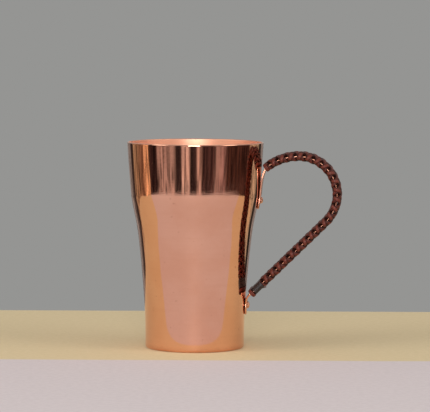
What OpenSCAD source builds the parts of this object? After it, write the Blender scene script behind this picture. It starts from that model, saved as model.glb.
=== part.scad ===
// Tall copper mug, spun from one sheet, with a looped strap handle covered in a braid of lace.
// Millimetres. +Z is up, the origin is the centre of the underside, the handle is towards +X.

/* [Cup] */
// Height of the cup, base to lip
cup_h = 127; // [124:0.5:130]
// Outside diameter at the lip
rim_d = 84; // [83:0.5:86]
// Outside diameter just above the base
base_d = 61; // [60:0.5:62]
// Thickness of the spun wall
wall_t = 1.0; // [0.8:0.1:1.2]
// Thickness of the flat bottom
floor_t = 1.2; // [1:0.1:2]
// Radius of the corner between the bottom and the wall
corner_r = 1.4; // [1.2:0.1:2]

/* [Handle strap] */
// Thickness of the copper strap
strap_t = 1.2; // [1:0.1:1.3]
// Width of the copper strap under the braid
strap_w = 15; // [14:0.5:16]
// Length of the straight run of the grip
straight_l = 63.4; // [60:0.2:66]
// Radius of the large bend
loop_r = 23.5; // [22:0.5:25]
// Radius of the flatter bend that leads back to the cup
top_r = 32; // [30:0.5:34]
// Width of the strap's two riveted ends
tab_w = 10; // [9:0.5:11]

/* [Rivets] */
// Diameter of a rivet's shank
rivet_d = 2.8; // [2:0.1:3]
// Diameter of the domed head outside
dome_d = 4.6; // [4.2:0.1:5]
// Height of the domed head
dome_h = 1.4; // [1:0.1:1.6]
// Height of the upper rivet above the table
upper_rivet_z = 91.4; // [91:0.1:92]
// Height of the lower rivet above the table
lower_rivet_z = 26.7; // [26:0.1:27]

/* [Braid] */
// Width of one strand
strand_w = 2.6; // [2.2:0.1:2.8]
// Thickness of one strand
strand_t = 0.8; // [0.6:0.05:0.8]
// Advance of a strand in one whole turn round the strap
braid_pitch = 22; // [21:0.5:23]

/* [Hidden] */
$fn = 96;

copper = [0.85, 0.52, 0.38];
cord = [0.28, 0.12, 0.09];
thread = [0.10, 0.08, 0.08];
fit = 0.03; // room left round the strap inside the cord's end turns
eps = 0.01;

// ---- cup wall ----
// Outer wall: height, radius and taper in degrees at each station; cubic in between.
WALL = [
    [0, base_d / 2, 0.3],
    [22, 30.9, 2.5],
    [48, 32.85, 5],
    [66, 34.68, 6.4],
    [81, 37.05, 12.2],
    [96, 39.75, 5.2],
    [cup_h, rim_d / 2, 3.8]
];

function herm(a, b, u) =
    let (h = b[0] - a[0], m0 = tan(a[2]) * h, m1 = tan(b[2]) * h)
    (2 * u^3 - 3 * u^2 + 1) * a[1] + (u^3 - 2 * u^2 + u) * m0
    + (3 * u^2 - 2 * u^3) * b[1] + (u^3 - u^2) * m1;
function wall_r(z, i = 0) =
    z <= WALL[i + 1][0] || i == len(WALL) - 2
        ? herm(WALL[i], WALL[i + 1], (z - WALL[i][0]) / (WALL[i + 1][0] - WALL[i][0]))
        : wall_r(z, i + 1);
function wall_lean(z) = atan((wall_r(z + 0.1) - wall_r(z - 0.1)) / 0.2);

// A fillet's points, centred on c, from angle a0 to a1
function arc(c, r, a0, a1, n) = [for (i = [0:n]) c + r * [cos(a0 + (a1 - a0) * i / n), sin(a0 + (a1 - a0) * i / n)]];

outer_c = [wall_r(corner_r) - corner_r, corner_r];
inner_cr = max(corner_r - wall_t, 0.4);
inner_c = [wall_r(floor_t + inner_cr) - wall_t - inner_cr, floor_t + inner_cr];
lip_z = cup_h - wall_t / 2;
lip_c = [wall_r(lip_z) - wall_t / 2, lip_z];
wall_steps = 56;
cup_profile = concat(
    [[0, 0]],
    arc(outer_c, corner_r, -90, 0, 6),
    [for (i = [1:wall_steps]) let (z = corner_r + (lip_z - corner_r) * i / wall_steps) [wall_r(z), z]],
    [for (p = arc(lip_c, wall_t / 2, 0, 180, 10)) if (p[1] > lip_z + eps) p],
    [for (i = [0:wall_steps]) let (z = lip_z + (floor_t + inner_cr - lip_z) * i / wall_steps) [wall_r(z) - wall_t, z]],
    [for (p = arc(inner_c, inner_cr, 0, -90, 5)) if (p[0] < inner_c[0] + inner_cr - eps) p],
    [[0, floor_t]]
);

// Puts a shape at a rivet, with +Z out of the wall's outer face
module at_rivet(z) translate([wall_r(z), 0, z]) rotate([0, 90 + wall_lean(z), 0]) children();

module cup() color(copper) difference() {
    rotate_extrude($fn = 180) polygon(cup_profile);
    at_rivet(upper_rivet_z) cylinder(h = 12, d = rivet_d, center = true, $fn = 48);
    at_rivet(lower_rivet_z) cylinder(h = 12, d = rivet_d, center = true, $fn = 48);
}

// ---- handle's centreline, in the plane y = 0, from its lower end to its upper end ----
rod_a = [35.2, 34.0];  // where the grip's straight run starts
rise = 44.5;           // the straight run's angle above the table
loop_turn = 135;
top_turn = 40;

function dir(a) = [cos(a), sin(a)];
function left(a) = [-sin(a), cos(a)];
loop_a = rod_a + straight_l * dir(rise);            // where the large bend starts
loop_c = loop_a + loop_r * left(rise);
top_a = loop_c - loop_r * left(rise + loop_turn);   // where the flatter bend starts
top_c = top_a + top_r * left(rise + loop_turn);
end_heading = rise + loop_turn + top_turn;
rod_b = top_c - top_r * left(end_heading);          // where the grip's last bend ends
loop_l = loop_r * loop_turn * PI / 180;
top_l = top_r * top_turn * PI / 180;
rod_l = straight_l + loop_l + top_l;

// Heading and place at a distance s along the rod
function head(s) = s < straight_l ? rise
    : s < straight_l + loop_l ? rise + (s - straight_l) / loop_r * 180 / PI
    : rise + loop_turn + min(s - straight_l - loop_l, top_l) / top_r * 180 / PI;
function place(s) = s < straight_l ? rod_a + s * dir(rise)
    : s < straight_l + loop_l ? loop_c - loop_r * left(head(s))
    : s < rod_l ? top_c - top_r * left(head(s))
    : rod_b + (s - rod_l) * dir(end_heading);
function xz(p, y = 0) = [p[0], y, p[1]];

// Puts a shape at distance s, with its +Z along the rod
module on_rod(s) translate(xz(place(s))) rotate([0, 90 - head(s), 0]) children();

// ---- strap ----
function bez(p, u) = (1 - u)^3 * p[0] + 3 * (1 - u)^2 * u * p[1] + 3 * (1 - u) * u^2 * p[2] + u^3 * p[3];
tab_off = strap_t / 2 + 0.04;
tab_low = 20.6;    // bottom of the lower tab
tab_low_off = 29.5;  // where it leaves the wall
tab_up = 85.8;     // bottom of the upper tab
tab_up_off = 94.5;   // where it leaves the wall
function on_wall(z) = [wall_r(z) + tab_off, z];
function wall_dir(z) = [sin(wall_lean(z)), cos(wall_lean(z))];
lower_curve = [on_wall(tab_low_off), on_wall(tab_low_off) + 2.6 * wall_dir(tab_low_off), place(2.2) - 2.2 * dir(rise), place(2.2)];
upper_curve = [on_wall(tab_up_off), on_wall(tab_up_off) + 4.5 * wall_dir(tab_up_off), place(rod_l - 2.4) + 5.5 * dir(end_heading - 2), place(rod_l - 2.4)];
function tab_line(z0, z1, curve) = concat(
    [for (i = [0:5]) on_wall(z0 + (z1 - z0) * i / 6)],
    [for (i = [0:14]) bez(curve, i / 14)]
);
lower_line = tab_line(tab_low, tab_low_off, lower_curve);
upper_line = tab_line(tab_up, tab_up_off, upper_curve);
// Middle line of the whole strap: lower tab, straight run, both bends, upper tab
strap_line = concat(
    lower_line,
    [place(straight_l)],
    [for (i = [1:45]) place(straight_l + loop_l * i / 45)],
    [for (i = [1:12]) place(straight_l + loop_l + (top_l - 2.4) * i / 13)],
    [for (i = [len(upper_line) - 1:-1:0]) upper_line[i]]
);
function unit(v) = v / norm(v);
function side(l, i) = let (d = unit(l[min(i + 1, len(l) - 1)] - l[max(i - 1, 0)])) [-d[1], d[0]];
function band(l, h) = concat(
    [for (i = [0:len(l) - 1]) l[i] + h * side(l, i)],
    [for (i = [len(l) - 1:-1:0]) l[i] - h * side(l, i)]
);

// The strap's front view at a tab: a round end that widens upwards to the full strap
module tab_outline(z0, wide_z) {
    r = tab_w / 2;
    translate([0, z0 + r]) circle(r, $fn = 64);
    polygon([[-r, z0 + r], [r, z0 + r], [r, z0 + r + 2], [strap_w / 2 + 1, wide_z], [-strap_w / 2 - 1, wide_z], [-r, z0 + r + 2]]);
}
// The strap's side view times its front view; h and w are half its thickness and half its width
module strap(h, w) intersection() {
    rotate([90, 0, 0]) linear_extrude(2 * w, center = true) polygon(band(strap_line, h));
    union() {
        rotate([90, 0, 90]) linear_extrude(52) {
            tab_outline(tab_low, 36);
            translate([-strap_w / 2 - 1, 36]) square([strap_w + 2, 40]);
            tab_outline(tab_up, 107);
            translate([-strap_w / 2 - 1, 107]) square([strap_w + 2, 20]);
        }
        translate([52, -strap_w / 2 - 1, 30]) cube([50, strap_w + 2, 100]);
    }
}

module handle_strap() color(copper) difference() {
    strap(strap_t / 2, strap_w / 2);
    at_rivet(upper_rivet_z) cylinder(h = 12, d = rivet_d, center = true, $fn = 48);
    at_rivet(lower_rivet_z) cylinder(h = 12, d = rivet_d, center = true, $fn = 48);
}

// ---- rivets ----
// Domed head outside the tab, shank through tab and wall, flat set head inside the cup
dome_sphere = (dome_d^2 / 4 + dome_h^2) / (2 * dome_h);
module rivet(z) color(copper) at_rivet(z) rotate_extrude($fn = 64) {
    foot = 2 * 0.04 + strap_t;
    back = -wall_t - 0.12;
    polygon(concat(
        [[0, back - 0.7], [2.3, back - 0.7], [2.7, back - 0.3], [2.7, back], [rivet_d / 2, back], [rivet_d / 2, foot], [dome_d / 2, foot]],
        [for (i = [1:8]) let (a = i / 8 * asin(dome_d / 2 / dome_sphere), t = asin(dome_d / 2 / dome_sphere) - a)
            [dome_sphere * sin(t), foot + dome_h - dome_sphere * (1 - cos(t))]]
    ));
}
module upper_rivet() rivet(upper_rivet_z);
module lower_rivet() rivet(lower_rivet_z);

// ---- braid: eight strands, four of each hand, each over one and under one ----
turns = 4;                                 // strands of each hand
cross_s = 13.63;                           // a crossing in the row of crossings along the strap's edge
braid_a = cross_s - 3 / 16 * braid_pitch;  // the strands stand evenly apart here
braid_b = cross_s + braid_pitch / 16 + floor((rod_l - 2.1 - cross_s - braid_pitch / 16) / braid_pitch * 8) * braid_pitch / 8;
wave = strand_t / 2 + 0.09;
edge_y = strap_w / 2 - 0.2;                // the strands turn about this line at each edge of the strap
braid_r = strap_t / 2 + 0.13 + strand_t / 2 + wave;
braid_or = braid_r + wave + strand_t / 2;
girth = 4 * edge_y + 2 * PI * braid_r;
quarter = PI / 2 * braid_r / girth;        // the share of the girth in half an edge's turn
flat = 2 * edge_y / girth;                 // and in one face
// Angle and place across the strap after a share f of the girth, from the middle of the -Y edge
function oval(f) = let (g = f - floor(f))
    g < quarter ? [90 * g / quarter, -edge_y]
    : g < quarter + flat ? [90, -edge_y + 2 * edge_y * (g - quarter) / flat]
    : g < 3 * quarter + flat ? [90 + 90 * (g - quarter - flat) / quarter, edge_y]
    : g < 3 * quarter + 2 * flat ? [270, edge_y - 2 * edge_y * (g - 3 * quarter - flat) / flat]
    : [270 + 90 * (g - 3 * quarter - 2 * flat) / quarter, -edge_y];
// The row of crossings lies on the upper side of the edge, so it moves over between the straight run and the bend
function ease(u) = let (v = max(0, min(1, u))) v * v * (3 - 2 * v);
function column(s) = 1.1 - 2 * ease((s - 60) / 30);
// Over and under: flat while two strands cross, then a straight slope; 1 is on top and -1 underneath
function weave(t) = max(-1, min(1, (abs(2 * (turns * t - floor(turns * t)) - 1) - 0.5) / 0.2778));
function strand_at(s, hand, k) =
    let (t = (s - cross_s) / braid_pitch,
         o = oval(column(s) / girth + hand * t + k / turns),
         r = braid_r + hand * wave * weave(t),
         c = place(s), n = left(head(s)))
    xz(c + r * sin(o[0]) * n, o[1] - r * cos(o[0]));
// Straight out of the braid at the same place
function out_at(s, hand, k) =
    let (a = oval(column(s) / girth + hand * (s - cross_s) / braid_pitch + k / turns)[0], n = left(head(s)))
    xz(sin(a) * n, -cos(a));
strand_sides = 6;
// A strand's ring is cut square to the strand, and near the strand's two ends it turns to lie square to the strap
function shear(s) = max(0, 1 - min(s - braid_a, braid_b - s) / 2.6);
function ring_of(s, hand, k) =
    let (p = strand_at(s, hand, k), d = unit(strand_at(s + 0.02, hand, k) - strand_at(s - 0.02, hand, k)),
         out0 = out_at(s, hand, k), out = unit(out0 - (out0 * d) * d), w = cross(d, out), t = xz(dir(head(s))))
    [for (j = [0:strand_sides - 1]) let (a = 360 * j / strand_sides,
        q = p + strand_w / 2 * cos(a) * w + strand_t / 2 / sin(60) * sin(a) * out)
        q + d * (shear(s) * ((p - q) * t) / (d * t))];
// Steps at both ends of each flat part and each slope, split in four where the strand goes round an edge
function on_edge(s, hand, k) = let (a = oval(column(s) / girth + hand * (s - cross_s) / braid_pitch + k / turns)[0]) !(a == 90 || a == 270);
half_wave = braid_pitch / turns / 2;
marks = concat([braid_a],
    [for (m = [-2:ceil((braid_b - cross_s) / half_wave) + 1]) for (e = [-2 / 9, 2 / 9])
        let (s = cross_s + half_wave * (m + e)) if (s > braid_a + 0.3 && s < braid_b - 0.3) s],
    [braid_b]);
function steps(hand, k) = concat(
    [for (i = [0:len(marks) - 2])
        let (s = marks[i], h = marks[i + 1] - s, e = on_edge(s, hand, k) || on_edge(s + h / 2, hand, k) || on_edge(s + h, hand, k))
        for (j = [0:(e ? 3 : 0)]) s + h * j / 4],
    [braid_b]);
module strand(hand, k) color(cord) {
    m = strand_sides;
    rings = [for (s = steps(hand, k)) ring_of(s, hand, k)];
    n = len(rings) - 1;
    polyhedron(
        points = [for (r = rings) for (p = r) p],
        faces = concat(
            [[for (j = [m - 1:-1:0]) j]],
            [for (i = [0:n - 1]) for (j = [0:m - 1]) let (a = i * m + j, b = i * m + (j + 1) % m)
                each hand < 0 ? [[a, b + m, a + m], [a, b, b + m]] : [[a, b, a + m], [a + m, b, b + m]]],
            [[for (j = [0:m - 1]) n * m + j]]
        ),
        convexity = 10
    );
}
module strand_1() strand(1, 0);
module strand_2() strand(1, 1);
module strand_3() strand(1, 2);
module strand_4() strand(1, 3);
module strand_5() strand(-1, 0);
module strand_6() strand(-1, 1);
module strand_7() strand(-1, 2);
module strand_8() strand(-1, 3);

// ---- ends of the braid ----
// Outline across the strap at a distance r from its middle plane, round at both edges
function across(r) = concat(
    [for (i = [0:12]) [r * cos(15 * i), edge_y + r * sin(15 * i)]],
    [for (i = [12:24]) [r * cos(15 * i), -edge_y + r * sin(15 * i)]]
);
module slab(r, z0, z1) translate([0, 0, z0]) linear_extrude(z1 - z0) polygon(across(r));
end_r = braid_or - 0.05;
// A cord turned round the strap: a band with rounded edges, rounder on its free end
module end_turn(l, s, flip) on_rod(s) mirror([0, 0, flip ? 1 : 0]) {
    slab(end_r - 0.25, 0, 0.3);
    slab(end_r, 0.3, l - 1.5);
    slab(end_r - 0.15, l - 1.5, l - 0.9);
    slab(end_r - 0.5, l - 0.9, l - 0.4);
    slab(end_r - 1, l - 0.4, l);
}
module strap_room() strap(strap_t / 2 + fit, strap_w / 2 + fit);
turn_s = 2.4; // the lower turn ends and the whipping starts here
module lower_end_turn() color(cord) difference() {
    end_turn(turn_s + 0.6, turn_s, true);
    strap_room();
}
module upper_end_turn() color(cord) difference() {
    end_turn(rod_l - braid_b + 0.6, braid_b + 0.05, false);
    strap_room();
}
whip_r = strap_t / 2 + 1.45;
whip_l = braid_a - turn_s - 0.1;
module whipping() color(thread) difference() {
    on_rod(turn_s + 0.05) {
        slab(whip_r - 0.25, 0, 0.3);
        slab(whip_r, 0.3, 0.75 * whip_l);
        slab(whip_r + 0.15, 0.75 * whip_l, 0.92 * whip_l);
        slab(whip_r - 0.1, 0.92 * whip_l, whip_l);
    }
    strap_room();
}
// The cut end of a cord, bound in under the whipping and standing out of it on the outer side
module cord_tail() color(cord) translate(xz(place(7.6) - (whip_r - 0.1) * left(rise), -5)) rotate([0, 90 - rise + 34, 0])
    cylinder(h = 2.4, d1 = 0.9, d2 = 0.7, $fn = 24);

cup();
handle_strap();
upper_rivet();
lower_rivet();
strand_1();
strand_2();
strand_3();
strand_4();
strand_5();
strand_6();
strand_7();
strand_8();
upper_end_turn();
lower_end_turn();
whipping();
cord_tail();
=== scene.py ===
import math

import bpy
import numpy as np
from mathutils import Euler, Matrix, Vector


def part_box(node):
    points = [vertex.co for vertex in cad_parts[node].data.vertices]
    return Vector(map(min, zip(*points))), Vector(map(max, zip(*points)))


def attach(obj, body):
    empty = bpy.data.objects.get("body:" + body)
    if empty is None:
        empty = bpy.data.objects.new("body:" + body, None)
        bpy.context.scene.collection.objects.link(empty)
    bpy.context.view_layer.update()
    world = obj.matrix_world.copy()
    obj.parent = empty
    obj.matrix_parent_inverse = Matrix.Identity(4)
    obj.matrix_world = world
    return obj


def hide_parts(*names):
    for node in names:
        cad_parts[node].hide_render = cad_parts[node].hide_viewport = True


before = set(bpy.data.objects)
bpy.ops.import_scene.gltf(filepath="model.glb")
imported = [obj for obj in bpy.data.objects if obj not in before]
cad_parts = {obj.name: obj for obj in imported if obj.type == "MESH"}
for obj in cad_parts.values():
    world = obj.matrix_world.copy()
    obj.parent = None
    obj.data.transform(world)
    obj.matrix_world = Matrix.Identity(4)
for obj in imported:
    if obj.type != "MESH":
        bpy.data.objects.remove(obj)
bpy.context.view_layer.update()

# Everything below is worked out in millimetres and scaled by MM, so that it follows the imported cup.
CUP_H = 127.0
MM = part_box("cup")[1].z / CUP_H


# ---------------------------------------------------------------- numbers shared with the design
def D(a):
    a = np.radians(a)
    return np.array([np.cos(a), np.sin(a)])


def L(a):
    a = np.radians(a)
    return np.array([-np.sin(a), np.cos(a)])


WALL = [(0, 30.5, 0.3), (22, 30.9, 2.5), (48, 32.85, 5), (66, 34.68, 6.4), (81, 37.05, 12.2), (96, 39.75, 5.2), (127, 42, 3.8)]


def wall_r(z):
    z = float(min(max(z, 0.0), 127.0))
    for a, b in zip(WALL[:-1], WALL[1:]):
        if z <= b[0]:
            break
    h = b[0] - a[0]
    u = (z - a[0]) / h
    m0, m1 = math.tan(math.radians(a[2])) * h, math.tan(math.radians(b[2])) * h
    return (2 * u**3 - 3 * u**2 + 1) * a[1] + (u**3 - 2 * u**2 + u) * m0 + (3 * u**2 - 2 * u**3) * b[1] + (u**3 - u**2) * m1


def wall_lean(z):
    return math.degrees(math.atan((wall_r(z + 0.1) - wall_r(z - 0.1)) / 0.2))


RISE, LOOP_TURN, TOP_TURN = 44.5, 135.0, 40.0
STRAIGHT, LOOP_R, TOP_R = 63.4, 23.5, 32.0
ROD_A = np.array([35.2, 34.0])
STRAP_T, STRAP_W, TAB_W = 1.2, 15.0, 10.0
loop_a = ROD_A + STRAIGHT * D(RISE)
loop_c = loop_a + LOOP_R * L(RISE)
top_a = loop_c - LOOP_R * L(RISE + LOOP_TURN)
top_c = top_a + TOP_R * L(RISE + LOOP_TURN)
END_HEAD = RISE + LOOP_TURN + TOP_TURN
rod_b = top_c - TOP_R * L(END_HEAD)
loop_l = LOOP_R * math.radians(LOOP_TURN)
top_l = TOP_R * math.radians(TOP_TURN)
ROD_L = STRAIGHT + loop_l + top_l


def head(s):
    if s < STRAIGHT:
        return RISE
    if s < STRAIGHT + loop_l:
        return RISE + math.degrees((s - STRAIGHT) / LOOP_R)
    return RISE + LOOP_TURN + math.degrees(min(s - STRAIGHT - loop_l, top_l) / TOP_R)


def place(s):
    if s < STRAIGHT:
        return ROD_A + s * D(RISE)
    if s < STRAIGHT + loop_l:
        return loop_c - LOOP_R * L(head(s))
    if s < ROD_L:
        return top_c - TOP_R * L(head(s))
    return rod_b + (s - ROD_L) * D(END_HEAD)


def smooth(a, b, x):
    t = np.clip((np.asarray(x, float) - a) / (b - a), 0, 1)
    return t * t * (3 - 2 * t)


# ---------------------------------------------------------------- noise and mesh helpers
def _hash(i, j, k, seed):
    i, j, k = (np.asarray(v, np.int64) & 0xFFFFFFFF for v in (i, j, k))
    h = (i * 374761393 + j * 668265263 + k * 2147483647 + seed * 1274126177) & 0xFFFFFFFF
    h = ((h ^ (h >> 13)) * 1274126177) & 0xFFFFFFFF
    h = (h ^ (h >> 16)) & 0xFFFF
    return h / 32767.5 - 1.0


def noise(p, size, seed=0):
    """Smooth noise from -1 to 1 at points p (..., 3), with features about size across."""
    q = np.asarray(p, float) / size
    i = np.floor(q).astype(np.int64)
    f = q - i
    f = f * f * f * (f * (f * 6 - 15) + 10)
    out = 0
    for a in (0, 1):
        for b in (0, 1):
            for c in (0, 1):
                w = (f[..., 0] if a else 1 - f[..., 0]) * (f[..., 1] if b else 1 - f[..., 1]) * (f[..., 2] if c else 1 - f[..., 2])
                out = out + w * _hash(i[..., 0] + a, i[..., 1] + b, i[..., 2] + c, seed)
    return out


def make(name, verts, faces, attrs=None):
    """A mesh object from vertices in millimetres."""
    me = bpy.data.meshes.new(name)
    me.from_pydata((np.asarray(verts, float) * MM).tolist(), [], faces)
    me.validate()
    me.update()
    me.polygons.foreach_set("use_smooth", [True] * len(me.polygons))
    for key, values in (attrs or {}).items():
        at = me.attributes.new(key, "FLOAT", "POINT")
        at.data.foreach_set("value", np.asarray(values, np.float32))
    o = bpy.data.objects.new(name, me)
    bpy.context.scene.collection.objects.link(o)
    return o


def tube(rings, closed=False):
    """Quads through rings (n, m, 3); the two ends are closed with a fan to their middle."""
    n, m, _ = rings.shape
    v = rings.reshape(-1, 3)
    f = []
    for i in range(n if closed else n - 1):
        a, b = i * m, ((i + 1) % n) * m
        for j in range(m):
            k = (j + 1) % m
            f.append((a + j, a + k, b + k, b + j))
    if not closed:
        c0, c1 = len(v), len(v) + 1
        v = np.vstack([v, rings[0].mean(0), rings[-1].mean(0)])
        for j in range(m):
            k = (j + 1) % m
            f.append((c0, k, j))
            f.append((c1, (n - 1) * m + j, (n - 1) * m + k))
    return v, f


def sweep(centre, out, wide, half_t, half_w, power=2.0, sides=16):
    """Rings along centre (n, 3): half_t along out, half_w along wide, a superellipse of the given power."""
    n = len(centre)
    a = np.arange(sides) * 2 * np.pi / sides
    pw = np.broadcast_to(np.asarray(power, float), (n,))[:, None]
    c, s = np.cos(a)[None, :], np.sin(a)[None, :]
    ct = np.sign(c) * np.abs(c) ** (2 / pw)
    st = np.sign(s) * np.abs(s) ** (2 / pw)
    ht = np.broadcast_to(np.asarray(half_t, float), (n,))[:, None]
    hw = np.broadcast_to(np.asarray(half_w, float), (n,))[:, None]
    return centre[:, None, :] + (ht * ct)[..., None] * out[:, None, :] + (hw * st)[..., None] * wide[:, None, :]


def unit(v):
    return v / np.maximum(np.linalg.norm(v, axis=-1, keepdims=True), 1e-12)


def revolve(profile, seg, origin=(0, 0, 0), rot=None, shape=None):
    """Spins (radius, height) pairs whose first and last radius is 0; shape(points) may move the points before they are placed."""
    prof = np.asarray(profile, float)
    a = np.arange(seg) * 2 * np.pi / seg
    rings = []
    for r, z in prof[1:-1]:
        rings.append(np.stack([r * np.cos(a), r * np.sin(a), np.full(seg, z)], 1))
    rings = np.array(rings)
    v = np.vstack([rings.reshape(-1, 3), [[0, 0, prof[0, 1]]], [[0, 0, prof[-1, 1]]]])
    n = len(rings)
    f = []
    for i in range(n - 1):
        for j in range(seg):
            k = (j + 1) % seg
            f.append((i * seg + j, i * seg + k, (i + 1) * seg + k, (i + 1) * seg + j))
    c0, c1 = n * seg, n * seg + 1
    for j in range(seg):
        k = (j + 1) % seg
        f.append((c0, k, j))
        f.append((c1, (n - 1) * seg + j, (n - 1) * seg + k))
    if shape is not None:
        v = shape(v)
    if rot is not None:
        v = v @ np.asarray(rot).T
    return v + np.asarray(origin, float), f


# ---------------------------------------------------------------- cup
def arc(c, r, a0, a1, n):
    t = np.radians(np.linspace(a0, a1, n + 1))
    return [(c[0] + r * math.cos(x), c[1] + r * math.sin(x)) for x in t]


CORNER, WALL_T, FLOOR_T = 1.4, 1.0, 1.2
LIP_Z = CUP_H - WALL_T / 2


def build_cup():
    oc = (wall_r(CORNER) - CORNER, CORNER)
    icr = 0.8
    ic = (wall_r(FLOOR_T + icr) - WALL_T - icr, FLOOR_T + icr)
    lc = (wall_r(LIP_Z) - WALL_T / 2, LIP_Z)
    prof = [(0, 0)]
    prof += [(r, 0) for r in (1.0, 2.2, 4.2, 7, 11, 15, 19, 23, 26.5)]
    prof += arc(oc, CORNER, -90, 0, 9)
    prof += [(wall_r(z), z) for z in np.linspace(CORNER, LIP_Z, 171)[1:]]
    prof += arc(lc, WALL_T / 2, 0, 180, 14)[1:]
    prof += [(wall_r(z) - WALL_T, z) for z in np.linspace(LIP_Z, FLOOR_T + icr, 131)[1:]]
    prof += arc(ic, icr, 0, -90, 6)[1:]
    prof += [(r, FLOOR_T) for r in (26, 22, 17, 12, 8, 4.5, 2.2, 1.0)]
    prof += [(0, FLOOR_T)]

    def shape(v):
        r = np.hypot(v[:, 0], v[:, 1])
        ang = np.arctan2(v[:, 1], v[:, 0])
        z = v[:, 2]
        onwall = smooth(20, 29, r) * smooth(0.5, 6, z)
        # what the spinning tool and years of use leave: very shallow rings and flats, never enough to see as a step
        d = 0.010 * noise(np.stack([z * 1.0, ang * 0 + 3, ang * 0], 1), 9.0, 3)
        d += 0.016 * noise(np.stack([np.cos(ang) * 30, np.sin(ang) * 30, z], 1), 24.0, 5)
        d += 0.006 * noise(np.stack([np.cos(ang) * 30, np.sin(ang) * 30, z], 1), 8.0, 8)
        dents = [(-68, 70.5, 2.6, 1.3, 0.030), (-66, 67.5, 1.6, 1.0, -0.016), (-67, 60.5, 3.4, 0.9, 0.022), (-73, 53.0, 2.2, 1.0, 0.014),
                 (150, 60, 5, 3, 0.03), (95, 88, 4, 2.5, 0.025), (-170, 40, 3, 4, 0.02), (-110, 34, 3, 2, 0.012), (35, 56, 4, 2, 0.02)]
        for a0, z0, sa, sz, h in dents:
            da = (np.degrees(ang) - a0 + 180) % 360 - 180
            x = np.radians(da) * 33
            d -= h * np.exp(-0.5 * ((x / sa) ** 2 + ((z - z0) / sz) ** 2)) * (z > 3)
        # the rim has been knocked about a little
        d += 0.07 * np.cos(2 * ang + 0.7) * smooth(100, 127, z)
        k = np.where(r > 1e-6, (r + d * onwall) / np.maximum(r, 1e-6), 1)
        w = v.copy()
        w[:, 0] *= k
        w[:, 1] *= k
        w[:, 2] += np.where(z > 126, 0.03 * np.cos(3 * ang + 1.1) - 0.03, 0)
        return w

    v, f = revolve(prof, 192, shape=shape)
    lip = prof.index(max(prof, key=lambda p: p[1]))
    inner = np.concatenate([np.repeat([1.0 if i > lip + 4 else 0.0 for i in range(1, len(prof) - 1)], 192), [0.0, 1.0]])
    return make("cup_body", v, f, {"inner": inner})


# ---------------------------------------------------------------- handle strap
TAB_OFF = STRAP_T / 2 + 0.04


def on_wall(z):
    return np.array([wall_r(z) + TAB_OFF, z])


def wall_dir(z):
    a = math.radians(wall_lean(z))
    return np.array([math.sin(a), math.cos(a)])


def bez(p, u):
    return (1 - u) ** 3 * p[0] + 3 * (1 - u) ** 2 * u * p[1] + 3 * (1 - u) * u**2 * p[2] + u**3 * p[3]


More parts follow.
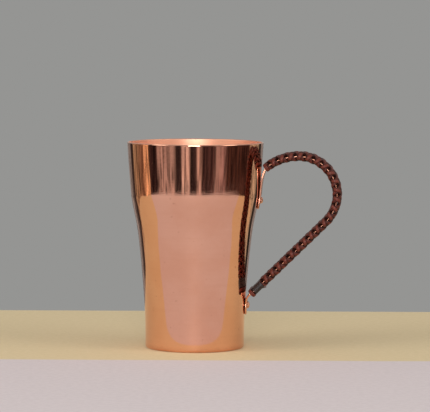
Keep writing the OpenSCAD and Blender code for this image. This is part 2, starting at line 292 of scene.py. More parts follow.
def build_strap():
    low = [on_wall(29.5), on_wall(29.5) + 2.6 * wall_dir(29.5), place(2.2) - 2.2 * D(RISE), place(2.2)]
    up = [on_wall(94.5), on_wall(94.5) + 4.5 * wall_dir(94.5), place(ROD_L - 2.4) + 5.5 * D(END_HEAD - 2), place(ROD_L - 2.4)]
    pts = [on_wall(z) for z in np.linspace(20.65, 29.5, 90)]
    pts += [bez(low, u) for u in np.linspace(0, 1, 60)[1:]]
    n_low = len(pts)
    pts += [place(s) for s in np.linspace(2.2, ROD_L - 2.4, 260)[1:-1]]
    n_up = len(pts)
    pts += [bez(up, u) for u in np.linspace(1, 0, 80)]
    pts += [on_wall(z) for z in np.linspace(94.5, 85.85, 96)[1:]]
    p = np.array(pts)
    step = np.linalg.norm(np.diff(p, axis=0), axis=1)
    s = np.concatenate([[0], np.cumsum(step)])
    # even spacing, finer at the two tab ends
    total = s[-1]
    u = np.concatenate([
        0.9 * (1 - np.cos(np.linspace(0, np.pi / 2, 14)))[:-1],
        np.linspace(0.9, 30, 100)[:-1], np.linspace(30, total - 34, 240)[:-1], np.linspace(total - 34, total - 0.9, 115)[:-1],
        total - 0.9 * (1 - np.cos(np.linspace(np.pi / 2, 0, 14)))])
    c = np.stack([np.interp(u, s, p[:, 0]), np.interp(u, s, p[:, 1])], 1)
    t = unit(np.gradient(c, axis=0))
    n2 = np.stack([-t[:, 1], t[:, 0]], 1)
    s_low_end, s_up_end = s[n_low - 1], s[n_up]

    def widths(z, d, z0, wide_z):
        r = TAB_W / 2
        h = z - z0
        b = np.where(h < r, np.sqrt(np.maximum(r * r - (r - np.clip(h, 0, r)) ** 2, 0.02)), r)
        w = b + 3.5 * np.clip((h - r - 2) / (wide_z - z0 - r - 2), 0, 1)
        w = STRAP_W / 2 - 0.35 * np.log1p(np.exp((STRAP_W / 2 - w) / 0.35))
        w = np.where(h < r, b, np.maximum(w, 0.1))
        a = 0.58 * np.sqrt(np.clip(1 - (1 - np.minimum(d / 0.45, 1)) ** 2, 0.05, 1))
        return w, a

    w0, a0 = widths(c[:, 1], u, 20.6, 36.0)
    w1, a1 = widths(c[:, 1], total - u, 85.8, 107.0)
    mid = np.full(len(u), STRAP_W / 2 - 0.02)
    near0, near1 = u < 30, total - u < 34
    hw = np.where(near0, w0, np.where(near1, w1, mid))
    ht = np.where(near0, a0, np.where(near1, a1, 0.58))
    # the bare necks are left a little thicker than the strap's flattened ends
    neck = smooth(s_low_end - 6, s_low_end - 3, u) * (1 - smooth(s_low_end - 0.5, s_low_end + 0.5, u)) + smooth(s_up_end - 0.5, s_up_end + 0.5, u) * (1 - smooth(s_up_end + 6, s_up_end + 11, u))
    ht = ht + 0.12 * neck
    pw = np.full(len(u), 5.0)
    c3 = np.stack([c[:, 0], 0 * u, c[:, 1]], 1)
    out = np.stack([n2[:, 0], 0 * u, n2[:, 1]], 1)
    wide = np.tile([0.0, 1.0, 0.0], (len(u), 1))
    rings = sweep(c3, out, wide, ht, hw, pw, 48)
    # hammer and file marks on the flattened ends
    flatness = np.maximum(1 - smooth(12, 18, u), 1 - smooth(14, 21, total - u))
    d = 0.045 * noise(rings, 3.2, 11) + 0.012 * noise(rings, 1.2, 12)
    edge = 0.10 * noise(rings * np.array([1, 1, 1]), 2.6, 13)
    sgn = np.sign(np.einsum("nmk,nk->nm", rings - c3[:, None, :], out))
    rings = rings + (d * sgn * flatness[:, None])[..., None] * out[:, None, :] * 0.8
    rings[..., 1] *= 1 + (edge * flatness[:, None] * 0.35)
    v, f = tube(rings)
    # the span of the strap under the braid; the material darkens it there as painted shade, so the gaps between the
    # strands look dark
    under = np.repeat(smooth(0, 1.2, u - s_low_end) * smooth(0, 1.2, s_up_end - u), 48)
    return make("handle_band", v, f, {"covered": np.concatenate([under, [0, 0]])})


# ---------------------------------------------------------------- rivets
def build_rivet(name, z, seed):
    lean = wall_lean(z)
    th = math.radians(90 + lean)
    rot = np.array([[math.cos(th), 0, math.sin(th)], [0, 1, 0], [-math.sin(th), 0, math.cos(th)]])
    foot, back = 1.36, -WALL_T - 0.02
    R, H = 2.3, 1.4
    prof = [(0, back - 0.72)]
    prof += [(r, back - 0.72 + 0.02 * (r / 2.2) ** 2) for r in (0.5, 1.0, 1.5, 1.9)]
    prof += arc((2.25, back - 0.36), 0.34, -90, 60, 8)
    prof += [(2.2, back), (1.4, back), (1.4, foot - 0.02)]
    prof += [(1.9, foot), (2.15, foot + 0.04)]
    prof += [(R * math.sin(math.radians(a)) ** 0.9, foot + 0.10 + (H - 0.10) * math.cos(math.radians(a)) ** 0.85) for a in np.linspace(88, 4, 16)]
    prof += [(0, foot + H)]

    def shape(v):
        w = v.copy()
        top = smooth(foot - 0.05, foot + 0.3, v[:, 2])
        inner = 1 - smooth(back - 0.3, back + 0.1, v[:, 2])
        rr = np.hypot(v[:, 0], v[:, 1])
        ang = np.arctan2(v[:, 1], v[:, 0])
        # struck by hand: a lobed outline and a few flats on the dome
        lob = 1 + top * (0.05 * np.cos(3 * ang + seed) + 0.035 * np.cos(5 * ang + 2 * seed))
        w[:, 0] *= lob
        w[:, 1] *= lob
        for k in range(7):
            az, tilt = seed * 1.7 + k * 2.4, math.radians(22 + 16 * ((k * 37 + seed * 11) % 3))
            nrm = np.array([math.sin(tilt) * math.cos(az), math.sin(tilt) * math.sin(az), math.cos(tilt)])
            q = w - np.array([0, 0, foot - 0.7])
            over = q @ nrm - (1.98 + 0.05 * ((k * 13 + seed) % 3))
            w -= (np.maximum(over, 0) * 0.8 * top)[:, None] * nrm
        w[:, 2] += 0.05 * noise(v, 1.1, seed) * top * (rr < 2.1)
        w[:, :2] *= (1 + 0.05 * inner * np.cos(2 * ang + seed))[:, None]
        return w

    v, f = revolve(prof, 48, (wall_r(z), 0, z), rot, shape)
    return make(name, v, f)


# ---------------------------------------------------------------- braid
PITCH, CROSS_S, TURNS = 22.0, 13.63, 4
BRAID_A, BRAID_B = 9.505, 138.755
STRAND_T, WAVE, EDGE_Y = 0.8, 0.49, STRAP_W / 2 - 0.2
BRAID_R = STRAP_T / 2 + 0.13 + STRAND_T / 2 + WAVE
GIRTH = 4 * EDGE_Y + 2 * math.pi * BRAID_R


def oval(f, r):
    """Angle and place across the strap after a share f of the way round it at distance r, from the middle of the -Y edge."""
    f = np.mod(np.asarray(f, float), 1.0)
    g = 4 * EDGE_Y + 2 * math.pi * r
    q, w = math.pi / 2 * r / g, 2 * EDGE_Y / g
    a = np.interp(f, [0, q, q + w, 3 * q + w, 3 * q + 2 * w, 1], [0, 90, 90, 270, 270, 360])
    y = np.interp(f, [0, q, q + w, 3 * q + w, 3 * q + 2 * w, 1], [-EDGE_Y, -EDGE_Y, EDGE_Y, EDGE_Y, -EDGE_Y, -EDGE_Y])
    return np.radians(a), y


def around(s, f, r, girth_r):
    """Points and outward directions round the strap at the distances s along it."""
    a, y = oval(f, girth_r)
    c = np.array([place(x) for x in s])
    n = np.array([L(head(x)) for x in s])
    q = c + (r * np.sin(a))[:, None] * n
    o = np.sin(a)[:, None] * n
    return np.stack([q[:, 0], y - r * np.cos(a), q[:, 1]], 1), np.stack([o[:, 0], -np.cos(a), o[:, 1]], 1)


def column(s):
    return 1.1 - 2 * smooth(60, 90, s)


def weave(t):
    x = np.clip((np.abs(2 * np.mod(TURNS * t, 1.0) - 1) - 0.5) / 0.2778, -1.15, 1.15)
    return np.sin(np.clip(x, -1, 1) * math.pi / 2)


def build_strand(name, hand, k, seed):
    s0, s1 = BRAID_A - 2.4, BRAID_B + 1.5
    n = int((s1 - s0) / PITCH * 110)
    s = np.linspace(s0, s1, n)
    w1 = noise(np.stack([s, 0 * s + seed * 9, 0 * s], 1), 5.3, seed)
    w2 = noise(np.stack([s, 0 * s + seed * 5, 0 * s], 1), 3.1, seed + 40)
    w3 = noise(np.stack([s, 0 * s + seed * 3, 0 * s], 1), 7.7, seed + 80)
    # the ends are drawn down to the strap under the whipping and the end turn
    t0 = (s - CROSS_S) / PITCH
    over = hand * weave(t0)
    down = np.maximum(1 - smooth(BRAID_A - 1.2, BRAID_A + 1.0, s), smooth(BRAID_B - 0.6, BRAID_B + 1.0, s))
    r = BRAID_R + 0.12 + 0.55 * over * (1 - 0.8 * down) - 0.45 * down + 0.03 * w3
    c, o = around(s, column(s) / GIRTH + hand * t0 + k / TURNS + 0.16 * w1 / GIRTH, r, BRAID_R)
    # ease the corners where the lace goes from a face round an edge
    for _ in range(6):
        c[1:-1] = 0.25 * c[:-2] + 0.5 * c[1:-1] + 0.25 * c[2:]
        o[1:-1] = unit(0.25 * o[:-2] + 0.5 * o[1:-1] + 0.25 * o[2:])
    t = unit(np.gradient(c, axis=0))
    o = unit(o - (o * t).sum(1, keepdims=True) * t)
    w = np.cross(t, o)
    half_t = 0.54 * (1 + 0.10 * over + 0.04 * w2) * (1 - 0.2 * down)
    half_w = 1.30 * (1 - 0.03 * over + 0.04 * w1)
    tip = np.minimum(smooth(-0.05, 0.6, s - s0), smooth(-0.05, 0.6, s1 - s))
    half_t, half_w = half_t * (0.3 + 0.7 * tip), half_w * (0.35 + 0.65 * tip)
    sides = 18
    rings = sweep(c, o, w, half_t, half_w, 2.05, sides)
    # lace cut from hide: uneven surface, a slight twist of the flat
    rings = rings + (0.026 * noise(rings, 0.8, seed + 5) + 0.014 * noise(rings, 0.35, seed + 6))[..., None] * unit(rings - c[:, None, :])
    v, f = tube(rings)
    # crest is highest on the outward tops of the over-crossings; the material lightens the lace there as a painted
    # highlight
    crest_highlight = np.repeat(over, sides).reshape(n, sides) * 0.5 + 0.5
    face = np.einsum("nmk,nk->nm", unit(rings - c[:, None, :]), o)
    at = (crest_highlight * np.clip(face, 0, 1)).reshape(-1)
    # middle falls to 0 at the lace's edges, where the material paints shade between the strands
    edge = np.clip(1 - np.abs(np.einsum("nmk,nk->nm", rings - c[:, None, :], w)) / half_w[:, None], 0, 1).reshape(-1)
    along = np.repeat(s, sides)
    return make(name, v, f, {"crest_highlight": np.concatenate([at, [0, 0]]), "middle": np.concatenate([edge, [0, 0]]), "along": np.concatenate([along, [s0, s1]])})


def coil(name, s, f, r, half_r, half_s, sides=16, seed=1):
    """A cord wound round the strap: distance along it, share of the way round, and distance from its middle plane."""
    c, o = around(s, f, r, float(np.median(r)))
    t = unit(np.gradient(c, axis=0))
    o = unit(o - (o * t).sum(1, keepdims=True) * t)
    w = np.cross(t, o)
    n = len(c)
    tip = np.minimum(smooth(-0.5, 9, np.arange(n)), smooth(-0.5, 9, np.arange(n)[::-1]))
    rings = sweep(c, o, w, half_r * (0.4 + 0.6 * tip), half_s * (0.4 + 0.6 * tip), 2.25, sides)
    rings = rings + (0.035 * noise(rings, 0.9, seed) + 0.02 * noise(rings, 0.4, seed + 3))[..., None] * unit(rings - c[:, None, :])
    v, fc = tube(rings)
    # face marks the cord's outward side, which the material lightens as a painted highlight
    face = np.clip(np.einsum("nmk,nk->nm", unit(rings - c[:, None, :]), o), 0, 1).reshape(-1)
    # edge falls to 0 at the cord's edges, where the material paints shade
    edge = np.clip(1 - np.abs(np.einsum("nmk,nk->nm", rings - c[:, None, :], w)) / half_s, 0, 1).reshape(-1)
    along = np.repeat(s, sides)
    return make(name, v, fc, {"crest_highlight": np.concatenate([face * 0.8, [0, 0]]), "middle": np.concatenate([edge, [0, 0]]), "along": np.concatenate([along, [0, 0]])})


def build_upper_turn():
    u = np.linspace(0, 1, 460)
    f = 0.44 + 2.1 * u
    s = 139.6 + 0.12 * np.sin(2 * math.pi * f) + 1.45 * u
    r = 1.70 - 0.05 * u - 0.5 * (1 - smooth(0, 0.06, u)) - 0.5 * smooth(0.94, 1.0, u)
    return coil("upper_turn_cord", s, f, r, 1.0, 0.80, seed=21)


def build_lower_turn():
    u = np.linspace(0, 1, 460)
    f = 0.56 - 2.1 * u
    s = 1.66 - 0.12 * np.sin(2 * math.pi * f + 1) - 1.5 * u
    r = 1.70 - 0.06 * u - 0.5 * (1 - smooth(0, 0.06, u)) - 0.5 * smooth(0.94, 1.0, u)
    return coil("lower_turn_cord", s, f, r, 1.0, 0.80, seed=31)


def build_whipping():
    s0, s1 = 2.4, 9.5
    rows, seg = 150, 132
    u = np.linspace(0, 1, rows)
    f = np.arange(seg) / seg
    rings = []
    for x in u:
        s = s0 + (s1 - s0) * x
        lay = s / 0.42 + f
        thread = np.sqrt(np.clip(1 - (2 * (lay - np.floor(lay)) - 1) ** 2, 0, 1))
        P = around(np.full(seg, s), f, np.full(seg, 1.9), 1.9)[0]
        fused = 0.5 + 0.5 * noise(P, 1.7, 51)
        r = 2.22 + 0.09 * thread * (1 - 0.65 * fused) + 0.06 * fused
        r = r + 0.07 * np.cos(2 * math.pi * 8 * f + 1.0 + 0.25 * s) * smooth(4.5, 9, s) + 0.05 * noise(P, 2.2, 52)
        r = r + 0.12 * smooth(6.6, 8.0, s) * (1 - smooth(8.4, 9.2, s))
        end = np.sqrt(np.clip(1 - (1 - np.minimum(x / 0.045, 1)) ** 2, 0, 1)) * np.sqrt(np.clip(1 - (1 - np.minimum((1 - x) / 0.06, 1)) ** 2, 0, 1))
        r = 0.61 + (r - 0.61) * (0.03 + 0.97 * end)
        rings.append(around(np.full(seg, s), f, r, 1.9)[0])
    v, fc = tube(np.array(rings))
    return make("whipping_thread_turns", v, fc)


def build_tail():
    start = np.array([place(7.6)[0], -5.0, place(7.6)[1]]) - np.array([2.2 * L(RISE)[0], 0, 2.2 * L(RISE)[1]])
    a = RISE - 34
    d = np.array([D(a)[0], 0, D(a)[1]])
    up = np.array([L(a)[0], 0, L(a)[1]])
    u = np.linspace(0, 1, 26)
    c = start + np.outer(u * 2.35, d) + np.outer(0.22 * u**2, up) + np.outer(-0.15 * u**2, [0, 1, 0])
    t = unit(np.gradient(c, axis=0))
    o = unit(np.cross(t, [0, 1, 0]))
    w = np.cross(t, o)
    half = 0.46 - 0.08 * u
    half[-3:] = half[-3:] * np.array([1.0, 0.88, 0.5])
    rings = sweep(c, o, w, half * 0.8, half * 1.15, 2.4, 14)
    rings = rings + (0.05 * noise(rings, 0.45, 61))[..., None] * unit(rings - c[:, None, :])
    v, f = tube(rings)
    m = len(v)
    # the cut end takes a fixed share of the painted highlight and none of the painted edge shade
    return make("cut_cord_end", v, f, {"crest_highlight": np.full(m, 0.35), "middle": np.full(m, 0.5), "along": np.full(m, 7.6)})


# ---------------------------------------------------------------- materials
class Nodes:
    def __init__(self, name):
        self.m = bpy.data.materials.new(name)
        self.m.use_nodes = True
        self.t = self.m.node_tree
        self.b = self.t.nodes["Principled BSDF"]

    def n(self, kind, **kw):
        x = self.t.nodes.new(kind)
        for k, v in kw.items():
            setattr(x, k, v)
        return x

    def link(self, a, b):
        self.t.links.new(a, b)

    def coords(self, scale):
        tc = self.n("ShaderNodeTexCoord")
        mp = self.n("ShaderNodeMapping")
        mp.inputs["Scale"].default_value = scale
        self.link(tc.outputs["Object"], mp.inputs["Vector"])
        return mp.outputs["Vector"]

    def noise(self, vec, scale, detail=3.0, rough=0.5, dist=0.0):
        x = self.n("ShaderNodeTexNoise")
        x.inputs["Scale"].default_value = scale
        x.inputs["Detail"].default_value = detail
        x.inputs["Roughness"].default_value = rough
        x.inputs["Distortion"].default_value = dist
        self.link(vec, x.inputs["Vector"])
        return x.outputs["Fac"]

    def remap(self, v, a, b, c, d):
        x = self.n("ShaderNodeMapRange")
        x.interpolation_type = "SMOOTHSTEP"
        for i, val in zip(("From Min", "From Max", "To Min", "To Max"), (a, b, c, d)):
            x.inputs[i].default_value = val
        self.link(v, x.inputs["Value"])
        return x.outputs["Result"]

    def mix(self, fac, a, b, mode="MIX"):
        x = self.n("ShaderNodeMix")
        x.data_type = "RGBA"
        x.blend_type = mode
        for socket, val in ((x.inputs[0], fac), (x.inputs[6], a), (x.inputs[7], b)):
            if isinstance(val, (int, float)):
                socket.default_value = val
            elif isinstance(val, tuple):
                socket.default_value = (*val, 1)
            else:
                self.link(val, socket)
        return x.outputs[2]

    def math(self, op, a, b=0.0):
        x = self.n("ShaderNodeMath", operation=op)
        for i, val in enumerate((a, b)):
            if isinstance(val, (int, float)):
                x.inputs[i].default_value = val
            else:
                self.link(val, x.inputs[i])
        return x.outputs[0]

    def bump(self, height, strength, distance, normal=None):
        x = self.n("ShaderNodeBump")
        x.inputs["Strength"].default_value = strength
        x.inputs["Distance"].default_value = distance
        self.link(height, x.inputs["Height"])
        if normal is not None:
            self.link(normal, x.inputs["Normal"])
        return x.outputs["Normal"]

    def attr(self, name):
        x = self.n("ShaderNodeAttribute", attribute_name=name)
        return x.outputs["Fac"]


def copper_cup():
    k = Nodes("copper_spun")
    b = k.b
    b.inputs["Metallic"].default_value = 1.0
    b.inputs["Anisotropic"].default_value = 0.0
    tan = k.n("ShaderNodeTangent", direction_type="RADIAL", axis="Z")
    k.link(tan.outputs[0], b.inputs["Tangent"])
    plain = k.coords((1, 1, 1))
    rings = k.coords((0.05, 0.05, 1))
    cloud = k.noise(plain, 38, 4, 0.55)
    fine = k.noise(plain, 260, 3, 0.6)
    spin = k.noise(rings, 2600, 3, 0.6)
    spin2 = k.noise(rings, 620, 2, 0.5)
    col = k.mix(k.remap(cloud, 0.35, 0.7, 0, 1), (0.94, 0.525, 0.375), (0.90, 0.475, 0.325))
    col = k.mix(k.remap(spin2, 0.45, 0.75, 0, 0.15), col, (0.83, 0.42, 0.28))
    # painted shade: the copper is darkened brown towards the bottom, where the wall meets the table, as a contact
    # shadow; the same mask also makes it a little rougher
    tc = k.n("ShaderNodeTexCoord")
    sep = k.n("ShaderNodeSeparateXYZ")
    k.link(tc.outputs["Object"], sep.inputs[0])
    low = k.remap(sep.outputs["Z"], 0.0, 0.004, 1, 0)
    base_shade = k.math("MULTIPLY", low, k.remap(cloud, 0.35, 0.65, 0.25, 0.5))
    col = k.mix(base_shade, col, (0.42, 0.17, 0.09))
    spots = k.remap(k.noise(plain, 520, 2, 0.5), 0.70, 0.76, 0, 0.5)
    col = k.mix(spots, col, (0.60, 0.27, 0.17))
    k.link(col, b.inputs["Base Color"])
    r = k.math("ADD", k.remap(cloud, 0.3, 0.75, 0.045, 0.075), k.remap(spin2, 0.4, 0.8, 0.0, 0.015))
    r = k.math("ADD", r, k.math("MULTIPLY", base_shade, 0.25))
    r = k.math("ADD", r, k.math("MULTIPLY", k.attr("inner"), 0.42))
    k.link(r, b.inputs["Roughness"])
    nrm = k.bump(spin, 0.05, 0.00008)
    nrm = k.bump(spin2, 0.015, 0.0003, nrm)
    nrm = k.bump(fine, 0.02, 0.0002, nrm)
    k.link(nrm, b.inputs["Normal"])
    return k.m


def copper_strap(name="copper_forged", covered=True):
    k = Nodes(name)
    b = k.b
    b.inputs["Metallic"].default_value = 1.0
    plain = k.coords((1, 1, 1))
    marks = k.noise(plain, 420, 3, 0.55)
    fine = k.noise(plain, 1900, 3, 0.6)
    cloud = k.noise(plain, 130, 4, 0.6)
    files = k.noise(k.coords((1, 0.12, 1)), 3200, 2, 0.5)
    col = k.mix(k.remap(cloud, 0.35, 0.68, 0, 1), (0.93, 0.52, 0.38), (0.84, 0.42, 0.28))
    col = k.mix(k.remap(fine, 0.55, 0.8, 0, 0.2), col, (0.55, 0.23, 0.13))
    # painted shade: the strap is darkened where the braid covers it, standing in for the shade in the gaps between the
    # strands
    if covered:
        cov = k.attr("covered")
        col = k.mix(k.math("MULTIPLY", cov, 0.78), col, (0.26, 0.10, 0.06))
    k.link(col, b.inputs["Base Color"])
    r = k.math("ADD", k.remap(cloud, 0.3, 0.7, 0.27, 0.36), k.remap(fine, 0.5, 0.8, 0, 0.06))
    k.link(r, b.inputs["Roughness"])
    nrm = k.bump(marks, 0.12, 0.0004)
    nrm = k.bump(files, 0.05, 0.0001, nrm)
    nrm = k.bump(fine, 0.03, 0.0001, nrm)
    k.link(nrm, b.inputs["Normal"])
    return k.m


def leather():
    k = Nodes("waxed_lace")
    b = k.b
    b.inputs["Specular IOR Level"].default_value = 0.22
    b.inputs["Coat Weight"].default_value = 0.03
    b.inputs["Coat Roughness"].default_value = 0.38
    plain = k.coords((1, 1, 1))
    crest_highlight, middle = k.attr("crest_highlight"), k.attr("middle")
    cloud = k.noise(plain, 210, 4, 0.6)
    pores = k.noise(plain, 2400, 4, 0.65)
    grain = k.noise(plain, 900, 3, 0.6, 0.6)
    col = k.mix(k.remap(cloud, 0.32, 0.7, 0, 1), (0.060, 0.010, 0.0065), (0.110, 0.022, 0.014))
    # painted highlight: the lace is lightened on its outward crests
    col = k.mix(k.remap(crest_highlight, 0.25, 0.95, 0, 0.42), col, (0.23, 0.052, 0.032))
    # painted shade: the lace is darkened to near black towards its edges, where the strands meet
    col = k.mix(k.math("MULTIPLY", k.remap(middle, 0.0, 0.35, 1, 0), 0.75), col, (0.018, 0.006, 0.005))
    col = k.mix(k.remap(grain, 0.30, 0.45, 0.55, 0), col, (0.035, 0.010, 0.008))
    k.link(col, b.inputs["Base Color"])
    r = k.math("ADD", k.remap(pores, 0.35, 0.7, 0.40, 0.58), k.math("MULTIPLY", crest_highlight, -0.06))
    k.link(r, b.inputs["Roughness"])
    nrm = k.bump(grain, 0.35, 0.0003)
    nrm = k.bump(pores, 0.30, 0.00012, nrm)
    k.link(nrm, b.inputs["Normal"])
    return k.m


def thread():
    k = Nodes("waxed_thread")
    b = k.b
    b.inputs["Specular IOR Level"].default_value = 0.35
    b.inputs["Coat Weight"].default_value = 0.08
    b.inputs["Coat Roughness"].default_value = 0.30
    plain = k.coords((1, 1, 1))
    cloud = k.noise(plain, 320, 4, 0.6)
    fibre = k.noise(plain, 3600, 3, 0.6)
    col = k.mix(k.remap(cloud, 0.35, 0.68, 0, 1), (0.012, 0.010, 0.011), (0.035, 0.022, 0.020))
    col = k.mix(k.remap(fibre, 0.5, 0.75, 0, 0.4), col, (0.045, 0.042, 0.046))
    k.link(col, b.inputs["Base Color"])
    k.link(k.remap(cloud, 0.3, 0.7, 0.34, 0.55), b.inputs["Roughness"])
    nrm = k.bump(fibre, 0.35, 0.0001)
    k.link(nrm, b.inputs["Normal"])
    return k.m


# ---------------------------------------------------------------- the pieces
CUP, STRAP, CORD, THREAD = copper_cup(), copper_strap(), leather(), thread()
RIVET = copper_strap("copper_rivet", covered=False)


def settle(o, node, mat):
    o.data.materials.append(mat)
    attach(o, "root")
    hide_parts(node)


settle(build_cup(), "cup", CUP)
settle(build_strap(), "handle_strap", STRAP)
settle(build_rivet("upper_rivet_struck", 91.4, 2), "upper_rivet", RIVET)
settle(build_rivet("lower_rivet_struck", 26.7, 5), "lower_rivet", RIVET)
for i, (hand, k) in enumerate([(h, q) for h in (1, -1) for q in range(4)]):
    settle(build_strand(f"lace_strand_{i + 1}", hand, k, i + 1), f"strand_{i + 1}", CORD)
settle(build_upper_turn(), "upper_end_turn", CORD)
settle(build_lower_turn(), "lower_end_turn", CORD)
settle(build_whipping(), "whipping", THREAD)
settle(build_tail(), "cord_tail", CORD)

# ---------------------------------------------------------------- camera
AZ, PITCH_DOWN, DIST, ROLL = 4.0, 4.2, 1.58, 0.25
az, el = math.radians(AZ), math.radians(PITCH_DOWN)
right = Vector((math.cos(az), math.sin(az), 0))
ahead = Vector((-math.sin(az) * math.cos(el), math.cos(az) * math.cos(el), -math.sin(el)))
target = right * 0.0122 + Vector((0, 0, 0.0874))
cam_data = bpy.data.cameras.new("camera")
cam_data.sensor_width = 36
cam_data.lens = 214.6
cam_data.clip_start, cam_data.clip_end = 0.05, 50
cam = bpy.data.objects.new("camera", cam_data)
cam.rotation_mode = "QUATERNION"
cam.location = target - ahead * DIST
cam.rotation_quaternion = ahead.to_track_quat("-Z", "Y") @ Euler((0, 0, math.radians(ROLL))).to_quaternion()
bpy.context.scene.collection.objects.link(cam)
bpy.context.scene.camera = cam

# ---------------------------------------------------------------- floor
TURN = Matrix.Rotation(az, 4, "Z")


def build_floor():
    """A tabletop slab with a rounded edge; its round front and its sides run out of the picture."""
    x1, y1, front, t, r = 430, 200, 430, 22, 6
    loop = []
    for cx, cy, cr, a0 in ((x1 - 60, y1 - 60, 60, 0), (60 - x1, y1 - 60, 60, 90), (0, 0, front, 180), (0, 0, front, 270)):
        for i in range(37 if cr == front else 13):
            a = math.radians(a0 + 90 * i / (36 if cr == front else 12))
            if cr == front and a0 == 270 and i == 0:
                continue
            loop.append((cx, cy, cr, math.cos(a), math.sin(a)))
    rings = []
    for off, z in [(-r - 14, 0), (-r, 0)] + [(-r + r * math.sin(math.radians(q)), -r + r * math.cos(math.radians(q))) for q in (15, 30, 45, 60, 75, 90)] + [(0, -t + r), (-r, -t)]:
        rings.append([(1.16 * (cx + (cr + off) * c), cy + (cr + off) * s, z) for cx, cy, cr, c, s in loop])
    rings = np.array(rings)
    n, m = len(rings), len(loop)
    v = rings.reshape(-1, 3)
    f = []
    for i in range(n - 1):
        for j in range(m):
            k = (j + 1) % m
            f.append((i * m + j, (i + 1) * m + j, (i + 1) * m + k, i * m + k))
    f.append(tuple(range(m)))
    f.append(tuple((n - 1) * m + j for j in range(m - 1, -1, -1)))
    o = make("floor", v, f)
    o.data.polygons.foreach_set("use_smooth", [False] * len(o.data.polygons))
    o.matrix_world = TURN
    k = Nodes("floor_pale")
    b = k.b
    tc = k.n("ShaderNodeTexCoord")
    sep = k.n("ShaderNodeSeparateXYZ")
    k.link(tc.outputs["Object"], sep.inputs[0])
    plain = k.coords((1, 1, 1))
    speck = k.noise(plain, 300, 4, 0.6)
    wob = k.noise(plain, 12, 2, 0.5)
    y = k.math("ADD", sep.outputs["Y"], k.math("MULTIPLY", wob, 0.004))
    front = k.remap(y, -0.0625, -0.0585, 1, 0)
    warm = k.mix(k.remap(speck, 0.35, 0.65, 0, 1), (0.80, 0.665, 0.41), (0.84, 0.70, 0.45))
    cool = k.mix(k.remap(speck, 0.35, 0.65, 0, 1), (0.76, 0.69, 0.71), (0.80, 0.73, 0.75))
    k.link(k.mix(front, warm, cool), b.inputs["Base Color"])
    b.inputs["Roughness"].default_value = 0.85
    b.inputs["Specular IOR Level"].default_value = 0.2
    k.link(k.bump(speck, 0.15, 0.0004), b.inputs["Normal"])
    o.data.materials.append(k.m)


build_floor()


# ---------------------------------------------------------------- light
def area(name, azimuth, elevation, dist, size, power, colour, shape_y=None, aim=(0, 0, 0.06)):
    a, e = math.radians(azimuth), math.radians(elevation)
    d = bpy.data.lights.new(name, "AREA")
    d.shape = "RECTANGLE"
    d.size, d.size_y = size, shape_y or size
    d.energy, d.color = power, colour
    o = bpy.data.objects.new(name, d)
    pos = Vector((math.sin(a) * math.cos(e), -math.cos(a) * math.cos(e), math.sin(e))) * dist + Vector(aim)
    o.location = pos
    o.rotation_mode = "QUATERNION"
    o.rotation_quaternion = (Vector(aim) - pos).to_track_quat("-Z", "Y")
    bpy.context.scene.collection.objects.link(o)
    return o


area("front_box", 2, 9, 2.3, 0.75, 27, (1.0, 0.97, 0.93), 0.75)
area("left_box", -62, 28, 2.0, 0.8, 8, (1.0, 0.95, 0.88), 1.0)
area("right_box", 68, 28, 2.0, 0.8, 7, (1.0, 0.95, 0.88), 1.0)


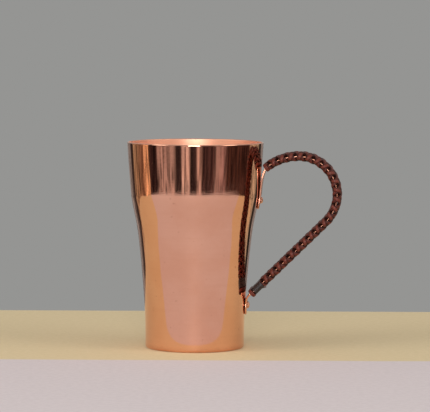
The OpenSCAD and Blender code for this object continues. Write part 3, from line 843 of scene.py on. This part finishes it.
def build_world():
    w = bpy.data.worlds.new("studio")
    bpy.context.scene.world = w
    w.use_nodes = True
    t = w.node_tree
    t.nodes.clear()
    N, LK = t.nodes.new, t.links.new

    def m(op, a, b=0.0):
        x = N("ShaderNodeMath")
        x.operation = op
        for i, val in enumerate((a, b)):
            if isinstance(val, (int, float)):
                x.inputs[i].default_value = val
            else:
                LK(val, x.inputs[i])
        return x.outputs[0]

    def mix(fac, a, b):
        x = N("ShaderNodeMix")
        x.data_type = "RGBA"
        for socket, val in ((x.inputs[0], fac), (x.inputs[6], a), (x.inputs[7], b)):
            if isinstance(val, (int, float)):
                socket.default_value = val
            elif isinstance(val, tuple):
                socket.default_value = (*val, 1)
            else:
                LK(val, socket)
        return x.outputs[2]

    def rng(v, a, b, c=0.0, d=1.0):
        x = N("ShaderNodeMapRange")
        x.interpolation_type = "SMOOTHSTEP"
        for key, val in zip(("From Min", "From Max", "To Min", "To Max"), (a, b, c, d)):
            x.inputs[key].default_value = val
        LK(v, x.inputs["Value"])
        return x.outputs["Result"]

    tc = N("ShaderNodeTexCoord")
    sep = N("ShaderNodeSeparateXYZ")
    LK(tc.outputs["Generated"], sep.inputs[0])
    X, Y, Z = sep.outputs
    az_n = m("ADD", m("DIVIDE", m("ARCTAN2", X, m("MULTIPLY", Y, -1.0)), 2 * math.pi), 0.5)
    # upright dark and light bars, as the flags and stands of a dim studio give
    ramp = N("ShaderNodeValToRGB")
    cr = ramp.color_ramp
    bars = [(-180, (0.30, 0.30, 0.29)), (-150, (0.30, 0.30, 0.29)), (-136, (0.05, 0.04, 0.04)), (-131, (0.05, 0.04, 0.04)), (-127, (0.40, 0.31, 0.20)),
            (-99, (0.20, 0.11, 0.07)), (-93, (0.92, 0.58, 0.34)), (-84, (0.92, 0.58, 0.34)), (-81, (0.035, 0.02, 0.02)), (-66, (0.035, 0.02, 0.02)),
            (-63, (0.36, 0.27, 0.25)), (-32, (0.42, 0.33, 0.31)), (-29, (0.035, 0.025, 0.025)), (-21, (0.035, 0.025, 0.025)), (-18, (0.62, 0.50, 0.47)),
            (-7, (0.62, 0.50, 0.47)), (-4, (0.03, 0.02, 0.02)), (5, (0.03, 0.02, 0.02)), (8, (0.50, 0.38, 0.35)), (13, (0.50, 0.38, 0.35)),
            (16, (0.05, 0.03, 0.03)), (35, (0.07, 0.04, 0.04)), (40, (0.36, 0.27, 0.26)), (57, (0.30, 0.20, 0.20)), (61, (0.06, 0.03, 0.025)),
            (108, (0.06, 0.03, 0.025)), (113, (0.48, 0.41, 0.30)), (138, (0.42, 0.38, 0.28)), (143, (0.02, 0.02, 0.02)), (150, (0.02, 0.02, 0.02)),
            (156, (0.30, 0.30, 0.29)), (180, (0.30, 0.30, 0.29))]
    while len(cr.elements) > 1:
        cr.elements.remove(cr.elements[-1])
    for i, (deg, colour) in enumerate(bars):
        e = cr.elements[0] if i == 0 else cr.elements.new((deg + 180) / 360)
        e.position = (deg + 180) / 360
        e.color = (*colour, 1)
    LK(az_n, ramp.inputs[0])
    # fine uprights within the bars
    comb = N("ShaderNodeCombineXYZ")
    LK(m("MULTIPLY", az_n, 105.0), comb.inputs[0])
    LK(m("MULTIPLY", Z, 24.0), comb.inputs[1])
    no = N("ShaderNodeTexNoise")
    no.inputs["Scale"].default_value = 1.0
    no.inputs["Detail"].default_value = 4.0
    no.inputs["Roughness"].default_value = 0.65
    LK(comb.outputs[0], no.inputs["Vector"])
    flick = rng(no.outputs["Fac"], 0.40, 0.60, 0.22, 1.45)
    room = N("ShaderNodeMix")
    room.data_type = "RGBA"
    room.blend_type = "MULTIPLY"
    room.inputs[0].default_value = 1.0
    LK(ramp.outputs[0], room.inputs[6])
    LK(flick, room.inputs[7])
    # above the horizon the room opens to a soft pale ceiling
    up = rng(Z, -0.01, 0.05)
    glossy = mix(up, room.outputs[2], (0.46, 0.43, 0.41))
    # soft light for everything else, stronger from the front
    ahead_share = rng(Y, -0.9, 0.6, 1.25, 0.65)
    soft = mix(rng(Z, -0.2, 0.3), (0.22, 0.21, 0.20), (0.52, 0.505, 0.495))
    sc = N("ShaderNodeMix")
    sc.data_type = "RGBA"
    sc.blend_type = "MULTIPLY"
    sc.inputs[0].default_value = 1.0
    LK(soft, sc.inputs[6])
    LK(ahead_share, sc.inputs[7])
    lp = N("ShaderNodeLightPath")
    a = mix(lp.outputs["Is Glossy Ray"], sc.outputs[2], glossy)
    b = mix(lp.outputs["Is Camera Ray"], a, (0.300, 0.300, 0.292))
    bg = N("ShaderNodeBackground")
    LK(b, bg.inputs["Color"])
    bg.inputs["Strength"].default_value = 1.0
    out = N("ShaderNodeOutputWorld")
    LK(bg.outputs[0], out.inputs[0])


build_world()
bpy.context.scene.view_settings.view_transform = "Standard"
